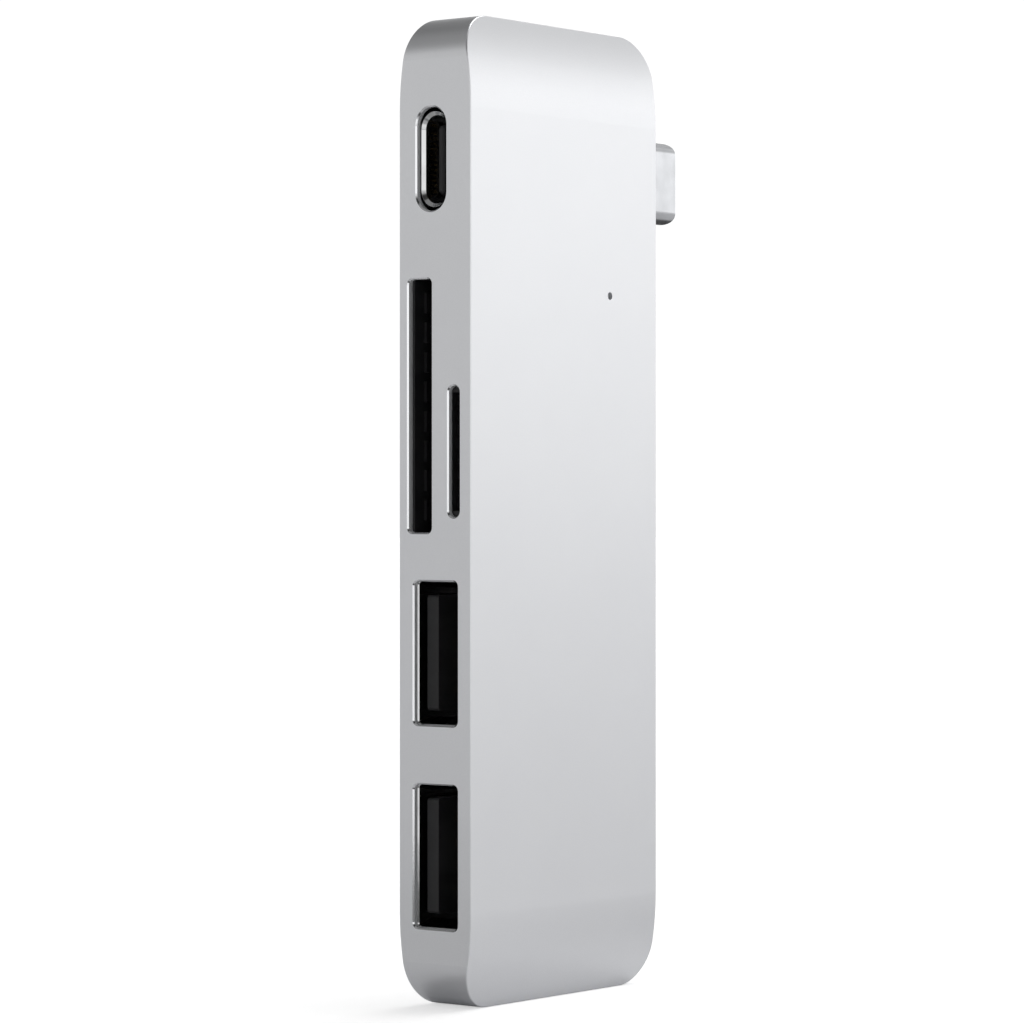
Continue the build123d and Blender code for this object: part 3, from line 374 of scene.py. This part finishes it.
def studio_world():
    """A pale room that darkens above eye level; the camera itself sees plain white."""
    studio = World()
    split = studio.tree.nodes.new("ShaderNodeSeparateXYZ")
    studio.tree.links.new(studio.view, split.inputs[0])
    elevation = studio.math("ARCSINE", split.outputs["Z"])
    eye_level = studio.fade(elevation, *EYE_LEVEL_FADE)
    lower_walls = studio.math("MULTIPLY", eye_level, SURROUND - UPPER_WALLS)
    light = studio.math("ADD", lower_walls, UPPER_WALLS)
    for azimuth, height, half_width, half_height, power in PANELS.values():
        shape = studio.panel(elevation, azimuth, height, half_width, half_height)
        light = studio.math("ADD", light, studio.math("MULTIPLY", shape, power))
    light = studio.math("MAXIMUM", light, DARKEST)
    seen = studio.tree.nodes.new("ShaderNodeLightPath").outputs["Is Camera Ray"]
    backdrop = studio.math("MULTIPLY", seen, BACKDROP)
    unseen = studio.math("SUBTRACT", 1.0, seen)
    light = studio.math("ADD", studio.math("MULTIPLY", light, unseen), backdrop)
    studio.tree.links.new(light, studio.tree.nodes["Background"].inputs["Color"])
    bpy.context.scene.world = studio.world


def soft_key(azimuth, elevation, spread, strength):
    """A broad, even key light from one direction."""
    lamp = bpy.data.lights.new("key_lamp", "SUN")
    lamp.angle = math.radians(spread)
    lamp.energy = strength
    made = bpy.data.objects.new("key_lamp", lamp)
    bpy.context.scene.collection.objects.link(made)
    made.rotation_euler = towards(azimuth, elevation).to_track_quat("Z", "Y").to_euler()


studio_world()
soft_key(*KEY_LIGHT)


# --- Floor ---------------------------------------------------------------------------
FLOOR_RADIUS = 6.0  # metres
FLOOR_SIDES = 96
FLOOR_GLOW = 0.5  # lifts the floor that the camera sees to white, outside the shadow
# Painted reflection: the floor that only the part's reflections and bounced light see is paler under
# the part than further out.
NEAR_PART = (0.02, 0.04)  # metres from the part's foot over which it changes
NEAR_PAINTED_REFLECTION = (0.85, 0.85, 0.86)
FAR_PAINTED_REFLECTION = (0.74, 0.74, 0.75)
# Painted reflection cards on the floor, seen only by reflected and bounced rays and never by the
# camera: X and Y ranges in metres, how pale each is and how much painted light it gives off.
PAINTED_REFLECTION_CARDS = [
    (-0.11, -0.03, -0.12, -0.02, 0.05, 0.0),
    (-0.10, -0.03, -0.02, 0.08, 0.5, 0.0),
    (-1.0, -0.09, -1.2, -0.12, 0.9, 0.45),
    (0.06, 0.25, -0.04, 0.22, 0.05, 0.0),
]


def studio_floor():
    """A round white floor, wide enough to reach the horizon in every view."""
    turns = [2 * math.pi * i / FLOOR_SIDES for i in range(FLOOR_SIDES)]
    rim = [(FLOOR_RADIUS * math.cos(turn), FLOOR_RADIUS * math.sin(turn), 0.0) for turn in turns]
    mesh = bpy.data.meshes.new("studio_floor")
    mesh.from_pydata(rim, [], [tuple(range(FLOOR_SIDES))])
    floor = bpy.data.objects.new("studio_floor", mesh)
    bpy.context.scene.collection.objects.link(floor)
    finish = Finish("pale_floor", (0.9, 0.9, 0.9), 0.6)
    patch = finish.noise(0.4, detail=2.0)
    seen = finish.node("ShaderNodeLightPath").outputs["Is Camera Ray"]
    paper = finish.blend(patch, (0.89, 0.89, 0.89), (0.91, 0.91, 0.91))

    # Painted reflection: what the part mirrors differs from what the camera sees, a grey sheet with
    # painted black and white cards on it that darken and lighten the part's reflections.
    point = finish.place.outputs["Object"]
    spot = finish.node("ShaderNodeSeparateXYZ", {0: point})
    reach = finish.node("ShaderNodeVectorMath", {0: point}, operation="LENGTH")
    away = finish.span(reach.outputs["Value"], *NEAR_PART)
    # painted reflection tone, grey near and far from the foot, for non-camera rays only
    painted_reflection_floor = finish.blend(away, NEAR_PAINTED_REFLECTION, FAR_PAINTED_REFLECTION)
    glow = finish.span(seen, 0.0, 1.0, 0.0, FLOOR_GLOW)
    # each card paints a black, grey or white patch into the floor colour that only reflections see
    for left, right, front, back, shade, painted_glow in PAINTED_REFLECTION_CARDS:
        inside = finish.math(
            "MULTIPLY",
            finish.within(spot.outputs["X"], left, right),
            finish.within(spot.outputs["Y"], front, back),
        )
        inside = finish.math("MULTIPLY", inside, finish.math("SUBTRACT", 1.0, seen))
        painted_reflection_floor = finish.blend(inside, painted_reflection_floor, (shade, shade, shade))
        # painted light: the pale card glows for reflected and bounced rays only
        glow = finish.math("ADD", glow, finish.math("MULTIPLY", inside, painted_glow))
    finish.set("Base Color", finish.blend(seen, painted_reflection_floor, paper))
    finish.set("Emission Color", (1.0, 1.0, 1.0, 1.0))
    finish.set("Emission Strength", glow)
    floor.data.materials.append(finish.material)


studio_floor()


def ejector_spring():
    """The ejector's coil, which in the real part closes up towards its seat as the slider pushes it
    back; here a copy of it rides on the hub body in place of the part's coil.
    """
    coil = nodes["microsd_spring"]
    spring = bpy.data.objects.new("ejector_spring", coil.data.copy())
    spring.matrix_world = coil.matrix_world.copy()
    bpy.context.scene.collection.objects.link(spring)
    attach(spring, "hub")
    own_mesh(spring)
    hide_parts("microsd_spring")


ejector_spring()


# --- Camera --------------------------------------------------------------------------
CAMERA_PLACE = Vector((-0.30305, -0.23442, 0.04783))
CAMERA_HEADING = 52.0  # degrees that the view is turned from +Y towards +X
CAMERA_LENS = 136.8  # millimetres, on a sensor 36 mm wide
CAMERA_SHIFT = -0.0039  # share of the picture's width

camera_data = bpy.data.cameras.new("camera")
camera_data.lens = CAMERA_LENS
camera_data.sensor_width = 36.0
camera_data.shift_y = CAMERA_SHIFT
camera_data.clip_start = 0.01
camera_data.clip_end = 50.0
camera = bpy.data.objects.new("camera", camera_data)
camera.location = CAMERA_PLACE
camera.rotation_euler = (math.radians(90.0), 0.0, -math.radians(CAMERA_HEADING))
bpy.context.scene.collection.objects.link(camera)
bpy.context.scene.camera = camera
bpy.context.scene.view_settings.view_transform = "Standard"
